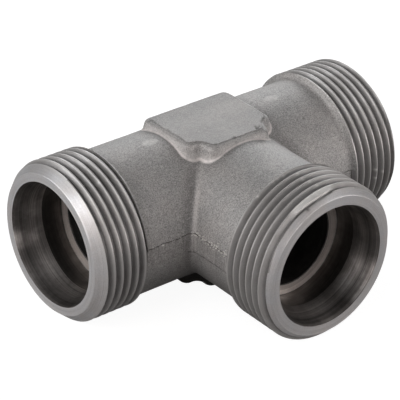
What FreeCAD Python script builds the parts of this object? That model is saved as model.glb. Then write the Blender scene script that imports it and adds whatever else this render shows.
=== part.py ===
import FreeCAD, Part
import math
import os

# Tee body of a 24 degree cone compression fitting, heavy series, for three 25 mm tubes.
# It is drop forged in one piece and then machined: three equal arms, each bored for its
# tube and threaded outside for a union nut, with spanner pads on top and underneath.
# The M36x2 threads stand here as plain collars of their major diameter.
# Frame: the arms' axes cross at the origin, the run lies along X, the branch points
# along -Y and the pads face up and down Z. Millimetres.

Vector = FreeCAD.Vector

# Port ends, machined
CENTRE_TO_FACE = 42.0
THREAD_MAJOR_D = 36.0
FACE_OUTER_D = 32.2
FACE_CHAMFER_LENGTH = 1.9
CONE_MOUTH_D = 28.1
CONE_HALF_ANGLE = 12.0
SOCKET_D = 25.2
SOCKET_DEPTH = 12.0
PASSAGE_D = 20.0

# Forged necks, and the collar that each thread is cut on
NECK_D = 33.2
COLLAR_LENGTH = 12.7
COLLAR_SHOULDER_LENGTH = 0.6
CROTCH_RADIUS = 2.0

# Trimmed land on the parting plane
LAND_THICKNESS = 4.2
LAND_STANDOUT = 0.1

# Spanner pads, whose flats stand out over the necks and are 35 mm apart
PAD_STANDOUT = 0.9
PAD_RUN_LENGTH = 23.4
PAD_BACK = 7.7
PAD_FRONT = 8.1
PAD_STEM_WIDTH = 16.0
PAD_STEM_REACH = 12.1
PAD_DRAFT_ANGLE = 12.0
PAD_EDGE_RADIUS = 1.2

# How far a cutting tool runs past the surface that it opens
TOOL_OVERRUN = 0.1

X_AXIS = Vector(1, 0, 0)
Y_AXIS = Vector(0, 1, 0)
Z_AXIS = Vector(0, 0, 1)
ORIGIN = Vector(0, 0, 0)

NECK_R = NECK_D / 2
NECK_END = CENTRE_TO_FACE - COLLAR_LENGTH - COLLAR_SHOULDER_LENGTH
PAD_Z = NECK_R + PAD_STANDOUT

# Turns about Z that carry the arm modelled along +X to each port
PORT_TURNS = {"right": 0.0, "left": 180.0, "branch": -90.0}


def slope(angle):
    """Tangent of an angle in degrees."""
    return math.tan(math.radians(angle))


def turned(points):
    """Solid of revolution about X from (distance along X, radius) points that start and end on the axis."""
    wire = Part.makePolygon([Vector(x, 0, r) for x, r in points + points[:1]])
    return Part.Face(wire).revolve(ORIGIN, X_AXIS, 360)


def at_port(shape, turn):
    """A copy of a shape modelled on the +X arm, turned to another port."""
    copy = shape.copy()
    copy.rotate(ORIGIN, Z_AXIS, turn)
    return copy


def arm():
    """One arm from the centre: forged neck, shoulder, threaded collar and chamfered face, still solid."""
    thread_r = THREAD_MAJOR_D / 2
    return turned([
        (0, 0),
        (0, NECK_R),
        (NECK_END, NECK_R),
        (NECK_END + COLLAR_SHOULDER_LENGTH, thread_r),
        (CENTRE_TO_FACE - FACE_CHAMFER_LENGTH, thread_r),
        (CENTRE_TO_FACE, FACE_OUTER_D / 2),
        (CENTRE_TO_FACE, 0),
    ])


def necks():
    """The plain crossing of the two necks, with the vertical crotches rolled to a radius.

    The crotch flattens out towards the top and bottom, where a fillet can't run. Both of
    its ends lie under the pads, so it is cut off there before it is filleted.
    """
    run = Part.makeCylinder(NECK_R, 2 * NECK_END, Vector(-NECK_END, 0, 0), X_AXIS)
    branch = Part.makeCylinder(NECK_R, NECK_END, ORIGIN, -Y_AXIS)
    under_pad = math.sqrt(NECK_R ** 2 - (PAD_STEM_WIDTH / 2) ** 2)
    slab = Part.makeBox(4 * NECK_END, 4 * NECK_END, 2 * under_pad,
                        Vector(-2 * NECK_END, -2 * NECK_END, -under_pad))
    middle = run.fuse(branch).common(slab)
    crotches = [edge for edge in middle.Edges if is_crotch(edge)]
    return middle.makeFillet(CROTCH_RADIUS, crotches)


def is_crotch(edge):
    """Whether an edge lies in one of the two upright planes where run and branch meet."""
    points = edge.discretize(5)
    middle = points[2]
    on_diagonal = all(abs(abs(p.x) - abs(p.y)) < 1e-4 for p in points)
    return on_diagonal and middle.y < -NECK_R / 2 and abs(middle.x) > NECK_R / 2


def parting_land():
    """The upright band left where the forging's flash was trimmed off, all round the necks."""
    half = NECK_R + LAND_STANDOUT
    end = NECK_END + COLLAR_SHOULDER_LENGTH
    low = -LAND_THICKNESS / 2
    run = Part.makeBox(2 * end, 2 * half, LAND_THICKNESS, Vector(-end, -half, low))
    branch = Part.makeBox(2 * half, end, LAND_THICKNESS, Vector(-half, -end, low))
    band = run.fuse(branch).removeSplitter()
    corners = [edge for edge in band.Edges if is_upright_at(edge, half, -half)]
    return band.makeFillet(CROTCH_RADIUS - LAND_STANDOUT, corners)


def is_upright_at(edge, x, y):
    """Whether an edge is vertical and stands at (x, y) or (-x, y)."""
    first, last = (vertex.Point for vertex in edge.Vertexes)
    there = abs(abs(first.x) - x) < 1e-4 and abs(first.y - y) < 1e-4
    return there and abs(first.z - last.z) > 1e-4 and first.sub(last).cross(Z_AXIS).Length < 1e-4


def drafted_block(x0, x1, y0, y1):
    """A block from the axes' plane up to the pad height, its sides leaning in by the draft angle."""
    grow = PAD_Z * slope(PAD_DRAFT_ANGLE)
    wedge = Part.makeWedge(x0 - grow, 0, -y1 - grow, -y1, x0, x1 + grow, PAD_Z, -y0 + grow, -y0, x1)
    wedge.rotate(ORIGIN, X_AXIS, 90)
    return wedge


def pad():
    """The upper pad: a T-shaped boss over the run and the branch, rounded at its corners and rim."""
    half_run = PAD_RUN_LENGTH / 2
    half_stem = PAD_STEM_WIDTH / 2
    over_run = drafted_block(-half_run, half_run, -PAD_FRONT, PAD_BACK)
    over_branch = drafted_block(-half_stem, half_stem, -PAD_STEM_REACH, 0)
    boss = over_run.fuse(over_branch).removeSplitter()
    reaching_flat = [edge for edge in boss.Edges if max(vertex.Z for vertex in edge.Vertexes) > PAD_Z / 2]
    return boss.makeFillet(PAD_EDGE_RADIUS, reaching_flat)


def bore():
    """Everything that is machined out of one arm: cone, tube socket, tube stop and half the passage."""
    mouth_r = CONE_MOUTH_D / 2
    socket_r = SOCKET_D / 2
    passage_r = PASSAGE_D / 2
    cone_end = CENTRE_TO_FACE - (mouth_r - socket_r) / slope(CONE_HALF_ANGLE)
    stop = CENTRE_TO_FACE - SOCKET_DEPTH
    past_face = CENTRE_TO_FACE + TOOL_OVERRUN
    return turned([
        (0, 0),
        (0, passage_r),
        (stop, passage_r),
        (stop, socket_r),
        (cone_end, socket_r),
        (past_face, mouth_r + TOOL_OVERRUN * slope(CONE_HALF_ANGLE)),
        (past_face, 0),
    ])


def tee_body():
    """The whole body: the forging first, then what is machined out of it."""
    lower_pad = pad().mirror(ORIGIN, Z_AXIS)
    body = necks().fuse([parting_land(), pad(), lower_pad])
    body = body.fuse([at_port(arm(), turn) for turn in PORT_TURNS.values()]).removeSplitter()
    for turn in PORT_TURNS.values():
        body = body.cut(at_port(bore(), turn))
    return body.removeSplitter()


def save(node, shape):
    """Writes one node's solid to parts/NODE.step."""
    solid = shape.Solids[0]
    os.makedirs("parts", exist_ok=True)
    solid.exportStep(f"parts/{node}.step")
    box = solid.BoundBox
    print(f"{node}: valid {solid.isValid()}, {len(shape.Solids)} solid, {len(solid.Faces)} faces,",
          f"{solid.Volume / 1000:.2f} cm3, {box.XLength:.2f} x {box.YLength:.2f} x {box.ZLength:.2f} mm")


save("tee_body", tee_body())
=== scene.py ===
import logging
import math
from collections.abc import Callable
from dataclasses import dataclass, field
from enum import Enum
from itertools import product
from typing import Any

import bpy
import numpy as np
from mathutils import Matrix, Vector


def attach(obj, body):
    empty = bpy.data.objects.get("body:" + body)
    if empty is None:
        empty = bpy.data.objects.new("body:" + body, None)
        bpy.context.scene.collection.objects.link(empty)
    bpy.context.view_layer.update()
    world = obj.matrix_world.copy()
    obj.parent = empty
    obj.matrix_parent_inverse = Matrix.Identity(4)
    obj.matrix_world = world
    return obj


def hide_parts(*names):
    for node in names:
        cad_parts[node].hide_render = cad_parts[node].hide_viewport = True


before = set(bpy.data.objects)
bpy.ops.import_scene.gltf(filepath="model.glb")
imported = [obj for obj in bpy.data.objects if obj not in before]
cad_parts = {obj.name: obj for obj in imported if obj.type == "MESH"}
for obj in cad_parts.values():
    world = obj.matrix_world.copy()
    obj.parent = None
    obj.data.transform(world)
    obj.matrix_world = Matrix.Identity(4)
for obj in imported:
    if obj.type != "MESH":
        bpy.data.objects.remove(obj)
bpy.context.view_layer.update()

# The body of a tee connector for metal tube: a shot blasted steel forging whose three arms
# are threaded outside and bored to a 24 degree cone. Sizes are in millimetres, as on a
# drawing, and become metres when a mesh is made. The arms' axes cross at the origin.

BODY = "root"
CAD_NODE = "tee_body"
LOG = logging.getLogger("tee_connector")

# A millimetre in metres, how near to a flat end a point lies on it, and how many steps a
# millimetre is divided into when points are told apart.
MM = 0.001
TOUCH = 0.02
WELDS_PER_MM = 1e4

# The whole numbers that turn a lattice point and a seed into a random value.
HASH_PRIMES = (73856093, 19349663, 83492791)
HASH_MIX = 2246822519
SEED_STRIDE = 7919
WORD = 0xFFFFFFFF

UP = np.array([0.0, 0.0, 1.0])
WHITE = (1.0, 1.0, 1.0, 1.0)

Array = np.ndarray
Number = float | Array
Distance = Callable[[Array], Array]
Face = tuple[int, ...]
Colour = tuple[float, float, float]
Socket = bpy.types.NodeSocket
Value = float | Socket


class Arm(Enum):
    """The three arms, each with the direction of its axis from the centre."""

    LEFT = (-1, 0, 0)
    RIGHT = (1, 0, 0)
    BRANCH = (0, -1, 0)

    @property
    def axis(self) -> Array:
        """Unit vector from the centre to the arm's face."""
        return np.array(self.value, float)

    @property
    def side(self) -> Array:
        """Unit vector square to the axis and to the upright."""
        return np.cross(self.axis, UP)

    @property
    def label(self) -> str:
        """The arm's name in lower case, for the names of its pieces."""
        return self.name.lower()

    def place(self, along: Array, around: Array, radius: Array) -> Array:
        """Turns an arm's own cylinder coordinates into points of the frame.

        Args:
            along: Distance from the centre along the axis.
            around: Angle from the upright towards the arm's side, in radians.
            radius: Distance from the axis.

        Returns:
            Points with x, y and z in the last dimension.
        """
        outward = np.cos(around)[..., None] * UP + np.sin(around)[..., None] * self.side
        return along[..., None] * self.axis + radius[..., None] * outward


class Surface(Enum):
    """What was done last to a surface of the body."""

    BLASTED = 0
    THREAD = 1
    FACE = 2
    CONE = 3
    SOCKET = 4
    STOP = 5
    PASSAGE = 6
    # Dark slivers along the parting line.
    SCALE = 7
    TORN = 8


Materials = dict[Surface, bpy.types.Material]


def slope(degrees: float) -> float:
    """Tangent of an angle in degrees."""
    return math.tan(math.radians(degrees))


def sight(azimuth: float, elevation: float) -> Array:
    """Unit vector towards a lamp or camera; azimuth 0 is over the branch and 90 over the right."""
    turn, rise = math.radians(azimuth), math.radians(elevation)
    return np.array([math.sin(turn) * math.cos(rise), -math.cos(turn) * math.cos(rise), math.sin(rise)])


def ramp(values: Array, start: Number, end: Number) -> Array:
    """Smooth step from 0 at start to 1 at end, whichever of the two is larger."""
    part = np.clip((values - start) / (end - start), 0.0, 1.0)
    return part * part * (3.0 - 2.0 * part)


def band(values: Array, low: Number, low_full: Number, high_full: Number, high: Number) -> Array:
    """Smooth hump, 0 outside low and high and 1 between the two full values."""
    return ramp(values, low, low_full) * ramp(values, high, high_full)


def tinted(colour: Colour, share: float) -> Colour:
    """A colour made lighter or darker by a share."""
    return tuple(part * share for part in colour)


def round_join(first: Array, second: Array, radius: Number) -> Array:
    """Joins two solids, given by their distances, with a hollow fillet between them.

    Args:
        first: Signed distances from the first solid, negative inside.
        second: Signed distances from the second solid.
        radius: The fillet's radius, one number or one for each point.

    Returns:
        Signed distances from the joined solid.
    """
    inner = np.hypot(np.maximum(radius - first, 0.0), np.maximum(radius - second, 0.0))
    return np.maximum(radius, np.minimum(first, second)) - inner


def round_meet(first: Array, second: Array, radius: float) -> Array:
    """Keeps what two solids share, with a rounded edge where their surfaces meet.

    Args:
        first: Signed distances from the first solid, negative inside.
        second: Signed distances from the second solid.
        radius: The edge's radius.

    Returns:
        Signed distances from the shared solid.
    """
    outer = np.hypot(np.maximum(radius + first, 0.0), np.maximum(radius + second, 0.0))
    return np.minimum(-radius, np.maximum(first, second)) + outer


def round_box(x: Array, y: Array, low: tuple[float, float], high: tuple[float, float],
              radius: float) -> Array:
    """Signed distance in plan from a rectangle with rounded corners.

    Args:
        x: First coordinate of each point.
        y: Second coordinate of each point.
        low: The rectangle's low corner.
        high: The rectangle's high corner.
        radius: The corners' radius.

    Returns:
        Distances, negative inside.
    """
    across = np.abs(x - (low[0] + high[0]) / 2) - (high[0] - low[0]) / 2
    deep = np.abs(y - (low[1] + high[1]) / 2) - (high[1] - low[1]) / 2
    return round_meet(across, deep, radius)


@dataclass(frozen=True)
class Ripple:
    """Smooth random field on a seeded lattice, for dents, waviness and ragged edges."""

    seed: int
    cell: float
    height: float = 1.0

    def __call__(self, points: Array) -> Array:
        """Values of the field, from minus its height to its height.

        Args:
            points: Points in millimetres, with x, y and z in the last dimension.

        Returns:
            One value for each point.
        """
        grid = points / self.cell
        base = np.floor(grid).astype(np.int64)
        part = grid - base
        part = part * part * (3.0 - 2.0 * part)
        total = np.zeros(points.shape[:-1])
        for corner in product((0, 1), repeat=3):
            weight = np.prod(np.where(np.array(corner) == 1, part, 1.0 - part), axis=-1)
            total += weight * self.lattice(base + np.array(corner))
        return self.height * total

    def in_plan(self, points: Array) -> Array:
        """Values of the field that are the same from top to bottom."""
        return self(points * (1.0, 1.0, 0.0))

    def lattice(self, cells: Array) -> Array:
        """The random value of each lattice point, the same on each run.

        Args:
            cells: Whole numbers of the lattice points.

        Returns:
            Values from -1 to 1.
        """
        spread = cells * np.array(HASH_PRIMES)
        key = spread[..., 0] ^ spread[..., 1] ^ spread[..., 2]
        key = (key + self.seed * SEED_STRIDE) & WORD
        for _ in range(3):
            key = ((key ^ (key >> 15)) * HASH_MIX) & WORD
        return key / (WORD >> 1) - 1.0


@dataclass
class Skin:
    """A mesh in the making: points in millimetres, faces, and what each face and point is."""

    points: Array
    faces: list[Face]
    surfaces: list[Surface]
    marks: dict[str, Array] = field(default_factory=dict)

    def piece(self, name: str, finishes: Materials, crease: float) -> bpy.types.Object:
        """Makes the Blender object, dressed and riding on the body.

        Args:
            name: The piece's name.
            finishes: The material for each kind of surface.
            crease: Edges that turn by more than this many degrees are shaded sharp.

        Returns:
            The new object.
        """
        mesh = bpy.data.meshes.new(name)
        mesh.from_pydata((self.points * MM).tolist(), [], self.faces)
        used = [kind for kind in Surface if kind in set(self.surfaces)]
        for kind in used:
            mesh.materials.append(finishes[kind])
        order = {kind: index for index, kind in enumerate(used)}
        mesh.polygons.foreach_set("material_index", [order[kind] for kind in self.surfaces])
        mesh.polygons.foreach_set("use_smooth", [True] * len(self.faces))
        for mark, values in self.marks.items():
            layer = mesh.attributes.new(mark, "FLOAT", "POINT")
            layer.data.foreach_set("value", values.astype(np.float32))
        mesh.update()
        mesh.set_sharp_from_angle(angle=math.radians(crease))
        piece = bpy.data.objects.new(name, mesh)
        bpy.context.scene.collection.objects.link(piece)
        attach(piece, BODY)
        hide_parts(CAD_NODE)
        triangles = sum(len(face) - 2 for face in self.faces)
        LOG.info("%s: %d points, %d triangles", name, len(self.points), triangles)
        return piece


@dataclass(frozen=True)
class Contour:
    """Finds the surface of a solid, given by signed distances, and keeps its sharp edges.

    Attributes:
        low: Low corner of the box that is searched.
        high: High corner of that box.
        cell: Size of the search's cells.
        slabs: In how many parts the grid is worked out, to spare memory.
        halvings: How often the search for a crossing is halved.
        pull: How hard a point is drawn to the mean of its cell's crossings.
        roam: How far from that mean a point may lie, in cells.
    """

    low: tuple[float, float, float]
    high: tuple[float, float, float]
    cell: float
    slabs: int = 12
    halvings: int = 12
    pull: float = 0.04
    roam: float = 0.8

    @property
    def counts(self) -> Array:
        """How many grid points the box has along x, y and z."""
        return np.ceil((np.array(self.high) - np.array(self.low)) / self.cell).astype(int) + 1

    def grid(self, distance: Distance) -> Array:
        """Works out the signed distance at every grid point.

        Args:
            distance: Signed distance of points.

        Returns:
            The distances, by grid point along x, y and z.
        """
        axes = [low + self.cell * np.arange(count) for low, count in zip(self.low, self.counts)]
        slabs = []
        for x in np.array_split(axes[0], self.slabs):
            at = np.stack(np.meshgrid(x, axes[1], axes[2], indexing="ij"), -1)
            slabs.append(distance(at.reshape(-1, 3)).reshape(at.shape[:3]))
        return np.concatenate(slabs)

    @staticmethod
    def gradient(distance: Distance, points: Array, step: float = 0.004) -> Array:
        """Unit normals of a field, by central differences.

        Args:
            distance: Signed distance of points.
            points: Where the normals are wanted.
            step: How far to each side the field is felt.

        Returns:
            One normal for each point.
        """
        normal = np.stack([distance(points + step * way) - distance(points - step * way)
                           for way in np.eye(3)], -1)
        return normal / np.maximum(np.linalg.norm(normal, axis=1), 1e-9)[:, None]

    def crossings(self, distance: Distance, values: Array, axis: int) -> tuple[Array, Array, Array]:
        """Where the surface crosses the grid's edges along one axis.

        Args:
            distance: Signed distance of points.
            values: Signed distance at the grid points.
            axis: 0, 1 or 2.

        Returns:
            The crossed edges' lower grid indices, the crossing points, and whether the solid
            lies at each edge's lower end.
        """
        count = values.shape[axis]
        first = np.take(values, range(count - 1), axis)
        second = np.take(values, range(1, count), axis)
        index = np.argwhere((first < 0) != (second < 0))
        start = np.array(self.low) + self.cell * index
        low, high = np.zeros(len(index)), np.full(len(index), self.cell)
        inside = first[tuple(index.T)] < 0
        for _ in range(self.halvings):
            middle = (low + high) / 2
            at = start.copy()
            at[:, axis] += middle
            same = (distance(at) < 0) == inside
            low, high = np.where(same, middle, low), np.where(same, high, middle)
        start[:, axis] += (low + high) / 2
        return index, start, inside

    def cells_around(self, index: Array, axis: int) -> Array:
        """Numbers of the four cells round each of some grid edges.

        Args:
            index: The edges' lower grid indices.
            axis: The edges' direction, 0, 1 or 2.

        Returns:
            Four cell numbers for each edge, in turning order.
        """
        counts = self.counts
        ring = []
        for across, over in ((0, 0), (-1, 0), (-1, -1), (0, -1)):
            cell = index.copy()
            cell[:, (axis + 1) % 3] += across
            cell[:, (axis + 2) % 3] += over
            ring.append((cell[:, 0] * counts[1] + cell[:, 1]) * counts[2] + cell[:, 2])
        return np.stack(ring, 1)

    def settle(self, slots: Array, total: int, planes: Array, places: Array) -> Array:
        """Puts one point in each cell where the planes through its crossings meet.

        Args:
            slots: The cell of each crossing.
            total: How many cells there are.
            planes: The surface's normal at each crossing.
            places: The crossings.

        Returns:
            One point for each cell.
        """
        number = np.bincount(slots, minlength=total).astype(float)
        summed = [np.bincount(slots, places[:, i], total) for i in range(3)]
        centre = np.stack(summed, -1) / number[:, None]
        reach = np.einsum("ni,ni->n", planes, places - centre[slots])
        matrix = np.empty((total, 3, 3))
        for i, j in product(range(3), repeat=2):
            matrix[:, i, j] = np.bincount(slots, planes[:, i] * planes[:, j], total)
        target = np.stack([np.bincount(slots, planes[:, i] * reach, total) for i in range(3)], -1)
        matrix += self.pull * number[:, None, None] * np.eye(3)
        shift = np.linalg.solve(matrix, target[..., None])[..., 0]
        return centre + np.clip(shift, -self.roam * self.cell, self.roam * self.cell)

    def surface(self, distance: Distance) -> tuple[Array, Array]:
        """Finds points and four-sided faces of the solid's surface.

        Each cell that the surface passes gets one point, placed by least squares where the
        planes through its edges' crossings meet, so flat sides stay flat and edges crisp.

        Args:
            distance: Signed distance of points.

        Returns:
            The points, and four point numbers for each face.
        """
        values = self.grid(distance)
        keys, planes, places, quads = [], [], [], []
        for axis in range(3):
            index, at, inside = self.crossings(distance, values, axis)
            ring = self.cells_around(index, axis)
            keys.append(ring.T.ravel())
            planes.append(np.tile(self.gradient(distance, at), (4, 1)))
            places.append(np.tile(at, (4, 1)))
            quads.append(np.where(inside[:, None], ring, ring[:, ::-1]))
        cells, slots = np.unique(np.concatenate(keys), return_inverse=True)
        points = self.settle(slots, len(cells), np.concatenate(planes), np.concatenate(places))
        return points, np.searchsorted(cells, np.concatenate(quads))


@dataclass(frozen=True)
class Rub:
    """A spot on the skin: where it is, how far it reaches, how bright or dark, and how deep."""

    place: tuple[float, float, float]
    reach: tuple[float, float, float]
    bright: float = 0.0
    dark: float = 0.0
    depth: float = 0.0

    def share(self, points: Array) -> Array:
        """How much of the spot is at each point, from 0 to 1."""
        away = np.linalg.norm((points - self.place) / self.reach, axis=1)
        return ramp(away, 1.15, 0.75)


@dataclass
class ForgedMiddle:
    """The forging between the threads: crossing necks, spanner pads and the trimmed flash land."""

    neck_radius: float = 16.65
    neck_drop: float = 0.3
    crotch_radius: float = 1.5
    passage_radius: float = 10.0
    passage_sides: int = 96
    passage_rows: int = 10
    end: float = 29.45
    bore_end: float = 28.6
    collar_foot: float = 28.75
    collar_radius: float = 17.95
    collar_lean: float = 0.36
    collar_lean_cosine: float = 0.94
    collar_edge: float = 0.25
    collar_fillet: float = 0.7
    pad_height: float = 17.5
    pad_run: float = 11.7
    pad_back: float = 7.7
    pad_front: float = 8.1
    stem_half: float = 8.0
    stem_reach: float = 12.1
    stem_back: float = 4.0
    pad_draft: float = 12.0
    pad_corner: float = 1.8
    pad_inner_left: float = 1.5
    pad_inner_right: float = 2.6
    flat_inner_left: float = 2.7
    flat_inner_right: float = 4.3
    pad_rim: float = 1.1
    pad_root: float = 0.65
    pad_ledge: float = 1.05
    pad_ledge_height: float = 0.1
    lower_pad_height: float = 17.85
    lower_pad_shift: float = 0.35
    flat_from: float = 17.2
    flat_waves: float = 0.4
    flat_sink: float = 0.03
    land_radius: float = 16.66
    land_crotch: float = 1.4
    land_top: float = 2.05
    land_bottom: float = -2.5
    calm_start: float = 28.9
    calm_end: float = 29.4
    cell: float = 0.34
    search_margin: float = 0.55
    search_back: float = 17.6
    search_height: float = 18.3
    crease: float = 50.0
    waves: tuple[Ripple, ...] = (Ripple(21, 5.0, 0.035), Ripple(22, 2.2, 0.02), Ripple(23, 1.0, 0.012))
    land_ragged: tuple[Ripple, ...] = (Ripple(11, 1.6, 0.16), Ripple(12, 0.7, 0.14))
    land_low_ragged: Ripple = Ripple(13, 1.2, 0.12)
    flat_ragged: Ripple = Ripple(31, 1.3, 0.12)
    rubs: tuple[Rub, ...] = (
        # The first two bright rubs are painted sheen on the necks' tops; the bright ones that stand proud
        # are flecks, and the dark ones are pits.
        Rub((-15.8, -0.3, 16.5), (2.1, 1.2, 1.5), bright=0.75),
        Rub((18.4, -0.4, 16.5), (2.0, 1.3, 1.5), bright=0.6),
        Rub((5.5, -10.75, 17.4), (0.55, 0.42, 0.6), dark=1.0, depth=0.14),
        Rub((5.6, -9.9, 17.4), (0.42, 0.3, 0.6), dark=0.7, depth=0.08),
        Rub((6.5, -10.4, 17.4), (0.35, 0.35, 0.6), dark=0.6, depth=0.06),
        Rub((-1.2, -10.9, 17.4), (0.5, 0.35, 0.6), dark=0.8, depth=0.1),
        Rub((-18.2, -7.7, 14.65), (0.35, 0.3, 0.3), bright=1.0, depth=-0.05),
        Rub((-18.5, -6.0, 15.4), (0.25, 0.3, 0.3), bright=0.8, depth=-0.05),
        Rub((24.6, -10.3, 12.96), (0.4, 0.3, 0.3), bright=1.0, depth=-0.06),
        Rub((21.0, -8.6, 14.1), (0.3, 0.35, 0.35), dark=0.8, depth=0.1),
    )

    def neck_gaps(self, points: Array) -> tuple[Array, Array]:
        """Signed distances from the run's neck and from the branch's neck."""
        x, y, z = points[:, 0], points[:, 1], points[:, 2] + self.neck_drop
        return np.hypot(y, z) - self.neck_radius, np.maximum(np.hypot(x, z) - self.neck_radius, y)

    def necks(self, points: Array) -> Array:
        """Signed distance from the two crossing necks, their crotches rolled to a radius.

        Args:
            points: Points anywhere.

        Returns:
            Distances, negative inside. The roll shrinks to nothing where the necks run into
            each other at the top and bottom, because their surfaces face the same way there.
        """
        run, branch = self.neck_gaps(points)
        z = points[:, 2] + self.neck_drop
        alike = z * z / np.maximum((run + self.neck_radius) * np.hypot(points[:, 0], z), 1e-6)
        return round_join(run, branch, self.crotch_radius * np.clip(1.0 - alike, 0.0, 1.0))

    def parting(self, points: Array) -> Array:
        """Height of the ragged upper edge of the trimmed land at each point."""
        return sum((ripple.in_plan(points) for ripple in self.land_ragged), self.land_top)

    def land_plan(self, points: Array) -> Array:
        """Signed distance in plan from the trimmed land's upright sides.

        Args:
            points: Points anywhere.

        Returns:
            Distances, negative inside.
        """
        run = np.abs(points[:, 1]) - self.land_radius
        branch = np.maximum(np.abs(points[:, 0]) - self.land_radius, points[:, 1])
        return round_join(run, branch, self.land_crotch)

    def land(self, points: Array) -> Array:
        """Signed distance from the upright land where the flash was trimmed off.

        Args:
            points: Points anywhere.

        Returns:
            Distances, negative inside.
        """
        z = points[:, 2]
        level = np.maximum(z - self.parting(points), self.land_bottom - z)
        return np.maximum(self.land_plan(points), level)

    def pad_plan(self, points: Array, inner: Number) -> Array:
        """Signed distance in plan from the pads' T-shaped outline.

        Args:
            points: Points anywhere.
            inner: Radius of the outline's inner corners.

        Returns:
            Distances, negative inside the outline.
        """
        x, y = points[:, 0], points[:, 1] + self.lower_pad_shift * (points[:, 2] < 0)
        over_run = round_box(x, y, (-self.pad_run, -self.pad_front), (self.pad_run, self.pad_back),
                             self.pad_corner)
        over_branch = round_box(x, y, (-self.stem_half, -self.stem_reach),
                                (self.stem_half, self.stem_back), self.pad_corner)
        return round_join(over_run, over_branch, inner)

    def pad_edge(self, points: Array) -> Array:
        """Signed distance in plan from the ragged edge of the pads' flats."""
        inner = np.where(points[:, 0] > 0, self.flat_inner_right, self.flat_inner_left)
        return self.pad_plan(points, inner) + self.pad_ledge + self.flat_ragged.in_plan(points)

    def pads(self, points: Array) -> Array:
        """Signed distance from the T-shaped spanner pads above and below.

        Args:
            points: Points anywhere.

        Returns:
            Distances, negative inside. The walls lean by the draft, and the flat stands a
            little over a ledge that runs round it.
        """
        height = np.abs(points[:, 2])
        top = np.where(points[:, 2] < 0, self.lower_pad_height, self.pad_height)
        spread = (top - height) * slope(self.pad_draft)
        inner = np.where(points[:, 0] > 0, self.pad_inner_right, self.pad_inner_left)
        walls = (self.pad_plan(points, inner) - spread) * math.cos(math.radians(self.pad_draft))
        block = round_meet(walls, height - top + self.pad_ledge_height, self.pad_rim)
        return np.minimum(block, np.maximum(self.pad_edge(points), height - top))

    def collars(self, points: Array) -> Array:
        """Signed distance from the forged shoulders behind the threads.

        Args:
            points: Points anywhere.

        Returns:
            Distances, negative inside. The shoulders are there above the parting line only.
        """
        solid = np.full(len(points), 1e3)
        above = self.parting(points) - points[:, 2]
        for arm in Arm:
            along = points @ arm.axis
            radius = np.linalg.norm(points - along[:, None] * arm.axis, axis=1)
            foot = self.collar_foot + (radius - self.neck_radius) * self.collar_lean - along
            ring = round_meet(radius - self.collar_radius, foot * self.collar_lean_cosine,
                              self.collar_edge)
            solid = np.minimum(solid, np.maximum(ring, above))
        return solid

    def distance(self, points: Array) -> Array:
        """Signed distance from the whole forging, without its passages.

        Args:
            points: Points anywhere.

        Returns:
            Distances, negative inside.
        """
        body = round_join(self.necks(points), self.collars(points), self.collar_fillet)
        body = round_join(body, self.pads(points), self.pad_root)
        body = np.minimum(body, self.land(points))
        return np.maximum(body, self.outward(points) - self.end)

    @staticmethod
    def outward(points: Array) -> Array:
        """Distance from the centre along the arm that each point lies in."""
        return np.maximum(np.abs(points[:, 0]), -points[:, 1])

    def outside(self) -> tuple[Array, Array]:
        """Finds the forging's skin, open at the three ends.

        Returns:
            Its points and its four-sided faces.
        """
        reach = self.end + self.search_margin
        search = Contour((-reach, -reach, -self.search_height),
                         (reach, self.search_back, self.search_height), self.cell)
        points, faces = search.surface(self.distance)
        for arm in Arm:
            along = points @ arm.axis
            at_end = np.abs(along - self.end) < TOUCH
            points[at_end] += (self.end - along[at_end])[:, None] * arm.axis
            faces = faces[~at_end[faces].all(1)]
        return points, faces

    def waved(self, skin: Array) -> Array:
        """Gives the skin the waves of a forging and its rubs and pits.

        Args:
            skin: The skin's points.

        Returns:
            The points, moved along the skin's normals. The waves die out before the
            machined ends and are lower on the pads' flats.
        """
        waves = sum(ripple(skin) for ripple in self.waves)
        waves *= ramp(self.outward(skin), self.calm_end, self.calm_start)
        on_flat = np.abs(skin[:, 2]) > self.flat_from
        waves = np.where(on_flat, self.flat_waves * waves - self.flat_sink, waves)
        waves -= np.sum([rub.depth * rub.share(skin) for rub in self.rubs], axis=0)
        moved = skin + Contour.gradient(self.distance, skin, 0.05) * waves[:, None]
        moved[:, 2] = np.clip(moved[:, 2], -self.collar_radius, self.collar_radius)
        return moved

    def passages(self) -> tuple[Array, list[Face], dict[Arm, list[int]]]:
        """The crossing flow passages, as one skin that faces inwards.

        Returns:
            Points, faces, and for each arm the ring of points at its end.
        """
        rows, sides = self.passage_rows, self.passage_sides
        around = np.arange(sides) * math.tau / sides
        size = np.full(sides, self.passage_radius)
        numbers: dict[Face, int] = {}
        points: list[Array] = []
        faces: list[Face] = []
        rings: dict[Arm, list[int]] = {}
        for arm in Arm:
            ring = arm.place(np.zeros(sides), around, size)
            start = np.abs(ring[:, 0]) if arm is Arm.BRANCH else np.maximum(-ring[:, 1], 0.0)
            table = np.empty((rows + 1, sides), int)
            for row in range(rows + 1):
                along = start + (self.bore_end - start) * row / rows
                for column, at in enumerate(arm.place(along, around, size)):
                    name = tuple(int(round(value * WELDS_PER_MM)) for value in at)
                    if name not in numbers:
                        numbers[name] = len(points)
                        points.append(at)
                    table[row, column] = numbers[name]
            for row, column in product(range(rows), range(sides)):
                near = (column + 1) % sides
                face = (table[row, column], table[row, near],
                        table[row + 1, near], table[row + 1, column])
                faces.append(tuple(dict.fromkeys(face)))
            rings[arm] = table[rows].tolist()
        return np.array(points), [face for face in faces if len(face) > 2], rings

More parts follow.
